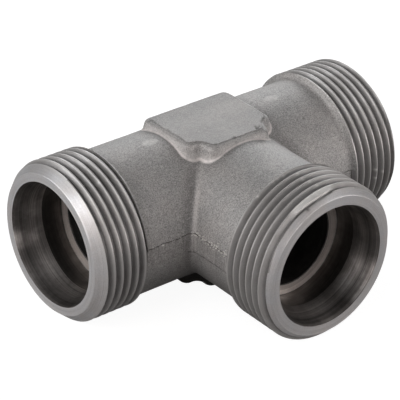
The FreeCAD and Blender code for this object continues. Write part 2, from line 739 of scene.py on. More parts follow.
    @staticmethod
    def by_angle(points: Array, arm: Arm, ring: list[int]) -> tuple[list[int], list[float]]:
        """Sorts a ring's points by their angle round an arm's axis.

        Args:
            points: All points.
            arm: The arm.
            ring: Indices of the ring's points.

        Returns:
            The sorted indices and their angles, both closed by the first one, a turn on.
        """
        at = points[ring]
        angle = np.arctan2(at @ arm.side, at @ UP) % math.tau
        order = np.argsort(angle)
        turned = angle[order].tolist()
        return [ring[i] for i in order] + [ring[order[0]]], turned + [math.tau + turned[0]]

    @classmethod
    def close(cls, points: Array, arm: Arm, outer: list[int], inner: list[int]) -> list[Face]:
        """Triangles across the hidden end between the skin and the passage.

        Args:
            points: All points.
            arm: The arm whose end it is.
            outer: Indices of the skin's points at the end.
            inner: Indices of the passage's points at the end.

        Returns:
            Triangles that face along the arm.
        """
        skin, skin_angle = cls.by_angle(points, arm, outer)
        hole, hole_angle = cls.by_angle(points, arm, inner)
        skin_last, hole_last = len(skin) - 1, len(hole) - 1
        i = j = 0
        faces = []
        while i < skin_last or j < hole_last:
            if j == hole_last or (i < skin_last and skin_angle[i + 1] <= hole_angle[j + 1]):
                faces.append((skin[i], skin[i + 1], hole[j]))
                i += 1
            else:
                faces.append((skin[i], hole[j + 1], hole[j]))
                j += 1
        return faces

    @staticmethod
    def rim(faces: list[Face]) -> set[int]:
        """Points on the open edges of a skin, which only one face has.

        Args:
            faces: The skin's faces.

        Returns:
            The points' indices.
        """
        counts: dict[Face, int] = {}
        for face in faces:
            for pair in zip(face, face[1:] + face[:1]):
                name = (min(pair), max(pair))
                counts[name] = counts.get(name, 0) + 1
        return {index for name, count in counts.items() if count == 1 for index in name}

    def land_marks(self, points: Array) -> dict[str, Array]:
        """The marks of the trimmed land.

        Args:
            points: Points on the skin.

        Returns:
            The share that is sheared, and the distance from the land's lower edge.
        """
        z, top, inward = points[:, 2], self.parting(points), self.land_plan(points)
        bottom = self.land_bottom
        sheared = band(z, bottom - 0.15, bottom + 0.1, top - 0.1, top + 0.1)
        fainter = 0.12 * (self.neck_gaps(points)[1] > 1.4)
        edge = np.abs(z - bottom - self.land_low_ragged.in_plan(points)) + fainter
        return {
            "sheared": sheared * ramp(inward, -0.45, -0.1),
            "low_edge": np.where(inward > -0.6, np.clip(edge, 0.0, 2.0), 2.0),
        }

    def crotch_marks(self, points: Array) -> dict[str, Array]:
        """The marks of the rolled crotches between run and branch.

        Args:
            points: Points on the skin.

        Returns:
            The shares of painted highlight on the branch's side and of painted shade on the run's side.
        """
        z = points[:, 2]
        run, branch = self.neck_gaps(points)
        # Painted highlight along the branch's side of the rolled crotch.
        wear_and_highlight = band(run, 0.2, 0.45, 1.0, 1.7) * ramp(branch, 0.75, 0.45)
        # Painted shade on the run's side of the crotch, next to the branch.
        deep = band(branch, 0.3, 0.6, 0.75, 3.9) * ramp(run, 0.4, 0.12)
        return {
            "roll_highlight": wear_and_highlight * band(z, -8.0, 0.0, 9.0, 15.5),
            "roll_shade": deep * ramp(z, 17.0, 11.0),
        }

    def pad_marks(self, points: Array) -> dict[str, Array]:
        """The marks that depend on how far the pads and the necks are.

        Args:
            points: Points on the skin.

        Returns:
            The shares of painted shade on the lower pad and of painted shade that grows towards
            the bottom, and the distances from the pads, from the edge of their flats and from the necks.
        """
        z, pads = points[:, 2], np.abs(self.pads(points))
        return {
            # Painted shade on the lower pad near the floor, nearly black.
            "underside_shade": band(z, -17.6, -17.3, -12.8, -11.6) * ramp(pads, 0.5, 0.15),
            # Painted shade that grows towards the bottom and near the lower pad.
            "low_shade": ramp(z, -3.0, -10.0) * (0.5 + 0.5 * ramp(pads, 5.0, 0.0)),
            "pad_gap": np.clip(pads, 0.0, 5.0),
            "pad_edge": np.clip(self.pad_edge(points), -3.0, 3.0),
            "neck_gap": np.clip(np.abs(self.necks(points)), 0.0, 5.0),
        }

    def rub_marks(self, points: Array) -> dict[str, Array]:
        """The marks of the single rubs and pits.

        Args:
            points: Points on the skin.

        Returns:
            The shares of the bright spots, painted sheen on the necks' tops and raised flecks, and of the
            dark pits.
        """
        return {
            "sheen_and_flecks": np.max([rub.bright * rub.share(points) for rub in self.rubs], axis=0),
            "pitted": np.max([rub.dark * rub.share(points) for rub in self.rubs], axis=0),
        }

    def build(self, finishes: Materials) -> bpy.types.Object:
        """Makes the dressed forging, passages and all, as one closed mesh.

        Args:
            finishes: The material for each kind of surface.

        Returns:
            The new object.
        """
        skin, quads = self.outside()
        skin = self.waved(skin)
        holes, hole_faces, rings = self.passages()
        points = np.concatenate([skin, holes])
        faces = [tuple(face) for face in quads.tolist()]
        rim = self.rim(faces)
        surfaces = [Surface.BLASTED] * len(faces) + [Surface.PASSAGE] * len(hole_faces)
        faces += [tuple(index + len(skin) for index in face) for face in hole_faces]
        for arm in Arm:
            outer = [index for index in rim if abs(points[index] @ arm.axis - self.end) < TOUCH]
            inner = [index + len(skin) for index in rings[arm]]
            capped = self.close(points, arm, outer, inner)
            faces += capped
            surfaces += [Surface.BLASTED] * len(capped)
        used = np.unique(np.concatenate([np.array(face) for face in faces]))
        renumber = np.full(len(points), -1)
        renumber[used] = np.arange(len(used))
        faces = [tuple(int(renumber[index]) for index in face) for face in faces]
        points = points[used]
        marks = (self.land_marks(points) | self.crotch_marks(points)
                 | self.pad_marks(points) | self.rub_marks(points))
        return Skin(points, faces, surfaces, marks).piece("forged_middle", finishes, self.crease)


@dataclass(frozen=True)
class Shred:
    """One kind of sliver on the parting line.

    Attributes:
        surface: What its metal is.
        wander: How far its line strays up or down from point to point.
        proud: How far it stands out of the skin.
        thin: Its least thickness.
        spread: How much thicker the thickest is.
        rarity: The higher, the rarer the thick ones.
    """

    surface: Surface
    wander: float
    proud: float
    thin: float
    spread: float
    rarity: float

    def thickness(self, chance: np.random.Generator) -> float:
        """Draws the thickness of one sliver."""
        return self.thin + self.spread * chance.random() ** self.rarity


@dataclass(frozen=True)
class Stretch:
    """The stretch of a route that one sliver covers, and how far below the line it lies."""

    first: int
    count: int
    drop: float
    shred: Shred

    @property
    def part(self) -> slice:
        """The stretch's points along the route."""
        return slice(self.first, self.first + self.count)


@dataclass
class PartingLine:
    """The dark slivers and the torn chips along the upper edge of the trimmed land."""

    forging: ForgedMiddle
    step: float = 0.15
    reach: float = 28.9
    plan: float = 16.5
    corner: float = 2.0
    seed: int = 8
    tip: float = 0.12
    root: float = 0.2
    lift: float = 0.03
    crease: float = 30.0
    search_in: float = 1.0
    search_out: float = 1.5
    halvings: int = 14
    tears_from: float = 0.55
    dark_sliver_points: tuple[int, int] = (5, 19)
    dark_sliver_where_torn: float = 0.35
    dark_sliver_drop: float = 0.08
    torn_points: tuple[int, int] = (3, 6)
    torn_chance: float = 0.85
    torn_chance_elsewhere: float = 0.06
    torn_drop: tuple[float, float] = (-0.05, 0.28)
    chip_points: tuple[int, int] = (3, 4)
    chip_chance: float = 0.7
    chip_drop: float = 0.6
    # Thin dark slivers that follow the parting line.
    scale: Shred = Shred(Surface.SCALE, 0.02, 0.05, 0.14, 0.12, 1.0)
    torn: Shred = Shred(Surface.TORN, 0.05, 0.3, 0.2, 0.38, 2.0)

    def crotch_route(self, sign: float) -> tuple[Array, Array]:
        """Plan of the land from one arm of the run round the crotch to the branch.

        Args:
            sign: -1 for the left crotch and 1 for the right one.

        Returns:
            Points at height 0 and the directions out of the body.
        """
        bend = self.plan + self.corner
        count = int((self.reach - bend) / self.step)
        ahead = np.linspace(self.reach, bend, count, endpoint=False)
        turn = np.linspace(0.0, math.pi / 2, int(self.corner * math.pi / 2 / self.step))
        straight = np.full(count, self.plan)
        x = np.concatenate([ahead, bend - self.corner * np.sin(turn), straight])
        y = np.concatenate([straight, bend - self.corner * np.cos(turn), ahead[::-1]])
        out_x = np.concatenate([np.zeros(count), np.sin(turn), np.ones(count)])
        out_y = np.concatenate([np.ones(count), np.cos(turn), np.zeros(count)])
        level = np.zeros(len(x))
        return np.stack([sign * x, -y, level], -1), np.stack([sign * out_x, -out_y, level], -1)

    def back_route(self) -> tuple[Array, Array]:
        """Plan of the land along the back of the run.

        Returns:
            Points at height 0 and the directions out of the body.
        """
        x = np.arange(-self.reach, self.reach, self.step)
        level = np.zeros(len(x))
        return np.stack([x, level + self.plan, level], -1), np.stack([level, level + 1.0, level], -1)

    def onto_skin(self, points: Array, out: Array) -> Array:
        """Moves points along their outward directions onto the forging's skin.

        Args:
            points: Points near the skin.
            out: Their directions out of the body.

        Returns:
            The points on the skin.
        """
        low, high = np.full(len(points), -self.search_in), np.full(len(points), self.search_out)
        for _ in range(self.halvings):
            middle = (low + high) / 2
            inside = self.forging.distance(points + out * middle[:, None]) < 0
            low, high = np.where(inside, middle, low), np.where(inside, high, middle)
        return points + out * low[:, None]

    def sliver(self, spine: Array, out: Array, thick: float, proud: float) -> tuple[Array, list[Face]]:
        """One thin closed sliver that follows a spine on the skin.

        Args:
            spine: Points on the skin.
            out: Directions out of the body.
            thick: Its height in the middle.
            proud: How far it stands out.

        Returns:
            Points and faces.
        """
        taper = np.sin(np.linspace(self.tip, 1.0 - self.tip, len(spine)) * math.pi)[:, None]
        lift = np.array([0.0, 0.0, thick / 2])
        sides = [spine + lift * taper, spine + out * proud * taper, spine - lift * taper,
                 spine - out * self.root]
        points = np.stack(sides, 1).reshape(-1, 3)
        faces: list[Face] = [(3, 2, 1, 0)]
        for row, side in product(range(len(spine) - 1), range(4)):
            a, b = 4 * row + side, 4 * row + (side + 1) % 4
            faces.append((a, b, b + 4, a + 4))
        end = 4 * (len(spine) - 1)
        faces.append((end, end + 1, end + 2, end + 3))
        return points, faces

    def deal(self, chance: np.random.Generator, tears: Array) -> list[Stretch]:
        """Deals out the slivers along one route.

        Args:
            chance: The source of random numbers.
            tears: Whether the flash tore, rather than sheared, at each point of the route.

        Returns:
            The stretches of the dark slivers and then of the torn ones.
        """
        dealt = []
        spot, last = 0, len(tears) - self.torn_points[1]
        while spot < last:
            length = int(chance.integers(*self.dark_sliver_points, endpoint=True))
            if not tears[spot] or chance.random() < self.dark_sliver_where_torn:
                length_left = len(tears) - spot
                dealt.append(Stretch(spot, min(length, length_left), self.dark_sliver_drop, self.scale))
            spot += length + int(chance.integers(0, 2))
        spot = 0
        while spot < last:
            here = tears[spot]
            if chance.random() < (self.torn_chance if here else self.torn_chance_elsewhere):
                length = int(chance.integers(*self.torn_points, endpoint=True))
                drop = float(chance.normal(*self.torn_drop))
                dealt.append(Stretch(spot, length, drop, self.torn))
            if here and chance.random() < self.chip_chance:
                length = int(chance.integers(*self.chip_points, endpoint=True))
                drop = float(abs(chance.normal(0.0, self.chip_drop)))
                dealt.append(Stretch(spot, length, drop, self.torn))
            spot += int(chance.integers(1, 5))
        return dealt

    def build(self, finishes: Materials) -> bpy.types.Object:
        """Makes all the slivers as one piece.

        Args:
            finishes: The material for each kind of surface.

        Returns:
            The new object.
        """
        chance = np.random.default_rng(self.seed)
        points: list[Array] = []
        faces: list[Face] = []
        surfaces: list[Surface] = []
        count = 0
        for plan, out in (self.crotch_route(-1.0), self.crotch_route(1.0), self.back_route()):
            dealt = self.deal(chance, np.abs(out[:, 0]) > self.tears_from)
            top = self.forging.parting(plan)
            spines = []
            for stretch in dealt:
                spine = plan[stretch.part].copy()
                wander = stretch.shred.wander * chance.standard_normal(stretch.count).cumsum()
                spine[:, 2] = top[stretch.part] - stretch.drop + wander
                spines.append(spine)
            sides = np.concatenate([out[stretch.part] for stretch in dealt])
            laid = self.onto_skin(np.concatenate(spines), sides) + self.lift * sides
            laid = np.split(laid, np.cumsum([len(spine) for spine in spines])[:-1])
            for stretch, spine in zip(dealt, laid):
                shred = stretch.shred
                made, skin = self.sliver(spine, out[stretch.part], shred.thickness(chance), shred.proud)
                points.append(made)
                faces += [tuple(index + count for index in face) for face in skin]
                surfaces += [shred.surface] * len(skin)
                count += len(made)
        return Skin(np.concatenate(points), faces, surfaces).piece("parting_line", finishes, self.crease)


@dataclass(frozen=True)
class Nick:
    """A small knock in a thread or face: where it is, how large, and how deep it goes."""

    along: float
    degrees: float
    length: float
    width: float
    depth: float
    bright: float = 1.0

    def share(self, along: Array, around: Array, radius: float) -> Array:
        """How much of the knock is at each point.

        Args:
            along: Distance from the centre along the axis.
            around: Angle from the upright, in radians.
            radius: Radius at which the knock's width is measured.

        Returns:
            Shares from 0 to 1.
        """
        turned = (np.degrees(around) - self.degrees + 180.0) % 360.0 - 180.0
        sideways = np.radians(turned) * radius / self.width
        return np.exp(-(sideways ** 2 + ((along - self.along) / self.length) ** 2))


@dataclass(frozen=True)
class Smear:
    """A stretch of crest that was crushed over towards the face, its top leaning down to a ragged lip."""

    start: float
    end: float
    from_along: float
    to_along: float
    radius: float
    lean: float
    runout: float = 9.0
    narrowing: float = 0.6
    notch_ahead: float = 0.32
    notch_width: float = 0.17
    notch_depth: float = 0.3
    ragged: Ripple = Ripple(41, 2.2, 0.15)

    def shares(self, along: Array, around: Array) -> tuple[Array, Array, Array]:
        """How much of the smear is at each point.

        Args:
            along: Distance from the centre along the axis.
            around: Angle from the upright, in radians.

        Returns:
            Shares from 0 to 1 of its length round the crest, its ragged lip and the notch
            in front of the lip.
        """
        degrees = np.degrees(around) % 360.0
        turned = (degrees - self.start) % 360.0
        length = (self.end - self.start) % 360.0
        within = band(turned, 0.0, self.runout, length - self.runout, length)
        ragged = self.ragged(np.stack([degrees * 0.31, along * 0.5, along * 0.0], -1))
        fullness = np.sin(np.clip(turned / length, 0.0, 1.0) * math.pi)
        edge = self.to_along - self.narrowing * (1.0 - fullness) + ragged
        lip = band(along, self.from_along - 0.3, self.from_along, edge - 0.2, edge + 0.1)
        notch = np.exp(-((along - edge - self.notch_ahead) / self.notch_width) ** 2)
        return within, lip, notch


@dataclass(frozen=True)
class FinishAndShading:
    """One arm's thread and face: lighter or darker copies of their finishes that paint the light each arm
    gets, the thread's gloss, and the strength of its crests' painted highlight.
    """

    face_painted_light: float = 1.0
    thread_painted_light: float = 1.0
    thread_roughness: float = 0.42
    thread_metallic: float = 0.5
    crest: float = 0.55


@dataclass
class PortEnd:
    """One machined arm end: thread, chamfered face, 24 degree cone, tube socket and stop."""

    arm: Arm
    face: float = 42.0
    face_radius: float = 16.1
    face_break: float = 0.01
    chamfer: float = 1.9
    major_radius: float = 17.98
    pitch: float = 2.0
    thread_depth: float = 1.12
    crest_half: float = 0.14
    root_radius: float = 0.36
    first_crest: float = 29.17
    flank_degrees: float = 30.0
    start: float = 28.6
    rim: float = 29.3
    start_radius: float = 16.2
    helix_end: float = 41.35
    mouth_radius: float = 14.05
    cone_half_degrees: float = 12.0
    socket_radius: float = 12.6
    socket_depth: float = 12.0
    passage_radius: float = 10.0
    passage_chamfer: float = 0.12
    clean_chamfer: bool = False
    clean_from: float = 0.6
    clean_to: float = 0.9
    least_groove: float = 0.03
    # How far from a crest's middle the crest's painted highlight reaches.
    crest_highlight_reach: float = 0.5
    columns: int = 360
    crease: float = 24.0
    look: FinishAndShading = FinishAndShading()
    wear_and_highlight: Ripple = Ripple(42, 1.0, 0.15)
    nicks: tuple[Nick, ...] = ()
    smears: tuple[Smear, ...] = ()

    def crest_phase(self, along: Array, around: Array) -> Array:
        """Distance in millimetres along the axis from each point to the nearest crest's middle."""
        turns = (along - self.first_crest) / self.pitch - around / math.tau
        return np.abs(turns - np.round(turns)) * self.pitch

    def bevel(self, along: Number) -> Number:
        """Radius of the chamfer's cone at a distance along the axis."""
        return self.face_radius + (self.face - along) * (self.major_radius - self.face_radius) / self.chamfer

    def shoulder(self, along: Array) -> Array:
        """Radius of the slope behind the thread at a distance along the axis."""
        rise = (self.major_radius - self.start_radius) / (self.rim - self.start)
        return self.start_radius + (along - self.start) * rise

    def radius(self, along: Array, around: Array) -> Array:
        """Radius of the machined outside, thread, run-out, chamfer and knocks included.

        Args:
            along: Distance from the centre along the axis.
            around: Angle from the upright, in radians.

        Returns:
            The radius at each point.
        """
        off = self.crest_phase(along, around)
        flank = (off - self.crest_half) / slope(self.flank_degrees)
        cut = round_meet(-flank, np.full(flank.shape, -self.thread_depth), self.root_radius)
        cut = np.clip(-cut, 0.0, None)
        if self.clean_chamfer:
            cut *= ramp(along, self.face - self.clean_from * self.chamfer,
                        self.face - self.clean_to * self.chamfer)
        radius = self.major_radius - cut
        for smear in self.smears:
            within, lip, notch = smear.shares(along, around)
            crushed = smear.radius - (along - smear.from_along) * smear.lean
            radius = radius + np.maximum(crushed - radius, 0.0) * within * lip
            radius = radius - smear.notch_depth * within * notch
        for nick in self.nicks:
            radius = radius - nick.depth * nick.share(along, around, self.major_radius) ** 2
        return np.minimum(np.minimum(radius, self.shoulder(along)), self.bevel(along))

    def in_groove(self, along: Array, around: Array) -> Array:
        """Whether each point lies below the chamfer's cone, in a thread groove."""
        return self.radius(along, around) < self.bevel(along) - self.least_groove

    def phases(self) -> list[float]:
        """Places across one pitch, from crest to crest, where the mesh has its helical rows."""
        half = [0.07, 0.12, 0.16, 0.21, 0.42, 0.62, 0.71, 0.79, 0.86, 0.93]
        return sorted(half + [self.pitch / 2] + [self.pitch - value for value in half])

    def helix(self) -> tuple[Array, Array, list[Face], list[int], list[int]]:
        """Helical rows of points from the start to the chamfer, with flat rings at both ends.

        Returns:
            Distance along the axis and angle of each point, the faces, and the first and the
            last ring.
        """
        step = self.columns
        phases = self.phases()
        low = math.floor((self.start - self.first_crest) / self.pitch) - 1
        high = math.ceil((self.helix_end - self.first_crest) / self.pitch)
        rows = [self.first_crest + self.pitch * turn + phase
                for turn in range(low, high + 1) for phase in phases]
        angles = [column * math.tau / step for column in range(step)]
        first, last = list(range(step)), list(range(step, 2 * step))
        along = [self.start] * step + [self.helix_end] * step
        around = angles + angles
        table = np.empty((len(rows), step), int)
        for column, row in product(range(step), range(len(rows))):
            here = rows[row] + self.pitch * column / step
            if here <= self.start + TOUCH:
                table[row, column] = first[column]
            elif here >= self.helix_end - TOUCH:
                table[row, column] = last[column]
            else:
                table[row, column] = len(along)
                along.append(here)
                around.append(angles[column])
        faces = []
        for column in range(step):
            wraps = column + 1 == step
            near = 0 if wraps else column + 1
            jump = len(phases) if wraps else 0
            for row in range(len(rows) - 1 - jump):
                face = (table[row, column], table[row + 1, column],
                        table[row + 1 + jump, near], table[row + jump, near])
                face = tuple(int(index) for index in dict.fromkeys(face))
                if len(face) > 2:
                    faces.append(face)
        return np.array(along), np.array(around), faces, first, last

    def inner_profile(self) -> list[tuple[float, float, Surface]]:
        """The turned outline from the chamfer over the face and down the hole to the back.

        Returns:
            Distance along, radius and the kind of the band up to it, for each ring.
        """
        face, rim, gap = self.face, self.face_radius, self.face_break
        mouth, socket, hole = self.mouth_radius, self.socket_radius, self.passage_radius
        cone_end = face - (mouth - socket) / slope(self.cone_half_degrees)
        stop = face - self.socket_depth
        rows = []
        for part in (0.35, 0.7, 0.94):
            along = self.helix_end + (face - self.helix_end) * part
            rows.append((along, self.bevel(along), Surface.FACE))
        rows += [(face - gap, rim - gap, Surface.FACE),
                 (face, rim - 4 * gap, Surface.FACE),
                 (face, rim - 7 * gap, Surface.FACE)]
        rows += [(face, mouth + (rim - mouth) * part, Surface.FACE) for part in (0.75, 0.5, 0.25, 0.0)]
        rows += [(face - (face - cone_end) * part, mouth - (mouth - socket) * part, Surface.CONE)
                 for part in (0.02, 0.25, 0.4, 0.55, 0.7, 0.85, 1.0)]
        rows += [(cone_end - (cone_end - stop) * part, socket, Surface.SOCKET)
                 for part in (0.08, 0.3, 0.6, 0.9, 0.98)]
        rows += [(stop, socket - self.passage_chamfer, Surface.SOCKET)]
        rows += [(stop, hole + (socket - hole) * part, Surface.STOP) for part in (0.7, 0.4, 0.08)]
        rows += [(along, hole, Surface.PASSAGE)
                 for along in (stop - self.passage_chamfer, stop - 0.7, self.start)]
        return rows

    def outside_kinds(self, along: Array, around: Array, faces: list[Face]) -> list[Surface]:
        """Tells the chamfer's faces from the thread's.

        Args:
            along: Distance of the points along the axis.
            around: Angle of the points.
            faces: The faces of the machined outside.

        Returns:
            The kind of each face.
        """
        grooved = self.in_groove(along, around)
        kinds = []
        for face in faces:
            middle = float(np.mean(along[list(face)]))
            turned = middle > self.face - self.chamfer - 0.05 and not grooved[list(face)].any()
            kinds.append(Surface.FACE if turned else Surface.THREAD)
        return kinds

    def build(self, finishes: Materials) -> bpy.types.Object:
        """Makes the dressed arm end as one closed mesh.

        Args:
            finishes: The material for each kind of surface.

        Returns:
            The new object.
        """
        along, around, faces, first, ring = self.helix()
        surfaces = self.outside_kinds(along, around, faces)
        points = [self.arm.place(along, around, self.radius(along, around))]
        turn = np.arange(self.columns) * math.tau / self.columns
        count = len(along)
        bands = []
        for where, size, kind in self.inner_profile():
            points.append(self.arm.place(np.full(self.columns, where), turn, np.full(self.columns, size)))
            new = list(range(count, count + self.columns))
            count += self.columns
            bands.append((ring, new, kind))
            ring = new
        bands.append((ring, first, Surface.PASSAGE))
        for outer, inner, kind in bands:
            for column in range(self.columns):
                near = (column + 1) % self.columns
                faces.append((outer[column], inner[column], inner[near], outer[near]))
            surfaces += [kind] * self.columns
        faces = [face[::-1] for face in faces]
        points = np.concatenate(points)
        skin = Skin(points, faces, surfaces, self.marks(points))
        return skin.piece(f"{self.arm.label}_port", finishes, self.crease)

    def marks(self, points: Array) -> dict[str, Array]:
        """What the turned finishes depend on.

        Args:
            points: Points of the arm end.

        Returns:
            Shares from 0 to 1 of painted highlight on the crests, of painted shade in the grooves, dents and
            notches, and of fresh metal.
        """
        along = points @ self.arm.axis
        across = points - along[:, None] * self.arm.axis
        around = np.arctan2(across @ self.arm.side, across @ UP) % math.tau
        radius = np.linalg.norm(across, axis=1)
        off = self.crest_phase(along, around)
        outside = ramp(radius, 16.2, 16.4)
        # Painted shade deep in the thread's grooves.
        groove = ramp(off, 0.7, 1.0) * outside * ramp(self.bevel(along) - radius, 0.04, 0.15)
        fresh = np.zeros(len(points))
        for nick in self.nicks:
            share = nick.bright * nick.share(along, around, self.major_radius)
            # A knock with a negative brightness gets painted shade instead of fresh metal.
            fresh, groove = np.maximum(fresh, share), np.maximum(groove, -share)
        for smear in self.smears:
            within, lip, notch = smear.shares(along, around)
            fresh = np.maximum(fresh, within * lip * (0.85 + self.wear_and_highlight(points)) * 0.85)
            # Painted shade in the notch before a crushed lip.
            groove = np.maximum(groove, within * np.sqrt(notch))
        # Painted highlight on the crests' tops.
        crest = ramp(off, self.crest_highlight_reach, 0.18) * ramp(radius, 16.9, 17.4)
        return {"crest": crest, "groove": groove, "fresh": fresh * outside}


class Shader:
    """Adds and links the nodes of one material."""

    def __init__(self, name: str) -> None:
        """Starts an empty node material with an output.

        Args:
            name: The material's name.
        """
        self.material = bpy.data.materials.new(name)
        self.material.use_nodes = True
        self.tree = self.material.node_tree
        self.tree.nodes.clear()
        self.output = self.tree.nodes.new("ShaderNodeOutputMaterial")

    def put(self, kind: str, options: dict[str, str | bool] | None = None, **inputs: Any) -> bpy.types.Node:
        """Adds a node.

        Args:
            kind: The node's type without its ShaderNode prefix.
            options: Attributes to set on the node.
            inputs: Values or output sockets for its inputs, by name with _ for a space, or
                by place as i0, i1 and so on.

        Returns:
            The new node.
        """
        node = self.tree.nodes.new("ShaderNode" + kind)
        for key, value in (options or {}).items():
            setattr(node, key, value)
        for key, value in inputs.items():
            place = int(key[1:]) if key[0] == "i" and key[1:].isdigit() else key.replace("_", " ")
            socket = node.inputs[place]
            if isinstance(value, Socket):
                self.tree.links.new(value, socket)
            else:
                socket.default_value = value
        return node

    def place(self) -> Socket:
        """The place of each point in the frame, in metres."""
        return self.put("TexCoord").outputs["Object"]

    def math(self, operation: str, first: Value, second: Value = 0.0) -> Socket:
        """The result of a Math node."""
        return self.put("Math", {"operation": operation}, i0=first, i1=second).outputs[0]

    def times(self, first: Value, *others: Value) -> Socket:
        """The product of some values.

        Args:
            first: The first value or socket.
            others: The other ones.

        Returns:
            The product.
        """
        for other in others:
            first = self.math("MULTIPLY", first, other)
        return first

    def most(self, first: Value, *others: Value) -> Socket:
        """The largest of some values.

        Args:
            first: The first value or socket.
            others: The other ones.

        Returns:
            The largest.
        """
        for other in others:
            first = self.math("MAXIMUM", first, other)
        return first

    def rest(self, share: Value) -> Socket:
        """What a share leaves of 1."""
        return self.math("SUBTRACT", 1.0, share)

    def vector(self, operation: str, result: str = "Vector", **inputs: Any) -> Socket:
        """One result of a Vector Math node."""
        return self.put("VectorMath", {"operation": operation}, **inputs).outputs[result]

    def mark(self, name: str) -> Socket:
        """A mark that the mesh carries at its points."""
        return self.put("Attribute", {"attribute_name": name}).outputs["Fac"]

    def noise(self, at: Socket, size: float, detail: float = 2.0, roughness: float = 0.5) -> Socket:
        """Noise from 0 to 1 whose lumps are about the given size in millimetres."""
        return self.put("TexNoise", Vector=at, Scale=1.0 / (size * MM), Detail=detail,
                        Roughness=roughness).outputs["Fac"]

    def spread(self, value: Socket, low: float, high: float, to_low: float = 0.0,
               to_high: float = 1.0) -> Socket:
        """Maps low..high of a value to another range, held at the ends."""
        return self.put("MapRange", {"clamp": True}, i0=value, i1=low, i2=high, i3=to_low,
                        i4=to_high).outputs[0]

    def about(self, value: Socket, middle: float, half: float) -> Socket:
        """Maps the usual range of a noise, 0.3 to 0.7, to a range round a middle value."""
        return self.spread(value, 0.3, 0.7, middle - half, middle + half)

    def tint(self, share: Value, first: Colour | Socket, second: Colour | Socket) -> Socket:
        """Mixes two colours.

        Args:
            share: How much of the second colour there is, from 0 to 1.
            first: The colour where the share is 0.
            second: The colour where the share is 1.

        Returns:
            The mixed colour.
        """
        node = self.tree.nodes.new("ShaderNodeMix")
        node.data_type = "RGBA"
        for place, value in ((0, share), (6, first), (7, second)):
            if isinstance(value, Socket):
                self.tree.links.new(value, node.inputs[place])
            elif place == 0:
                node.inputs[0].default_value = value
            else:
                node.inputs[place].default_value = (*value, 1.0)
        return node.outputs[2]

    def shade(self, colour: Socket, factor: Value) -> Socket:
        """A colour made darker or lighter by a factor."""
        return self.vector("SCALE", i0=colour, Scale=factor)

    def bump(self, height: Socket, depth: float, strength: float) -> Socket:
        """A normal from a height from 0 to 1 that stands for a depth in millimetres."""
        return self.put("Bump", Strength=strength, Distance=depth * MM, Height=height).outputs[0]

    def finish(self, shader: Socket) -> bpy.types.Material:
        """Links the shader to the output and gives the material."""
        self.tree.links.new(shader, self.output.inputs["Surface"])
        return self.material


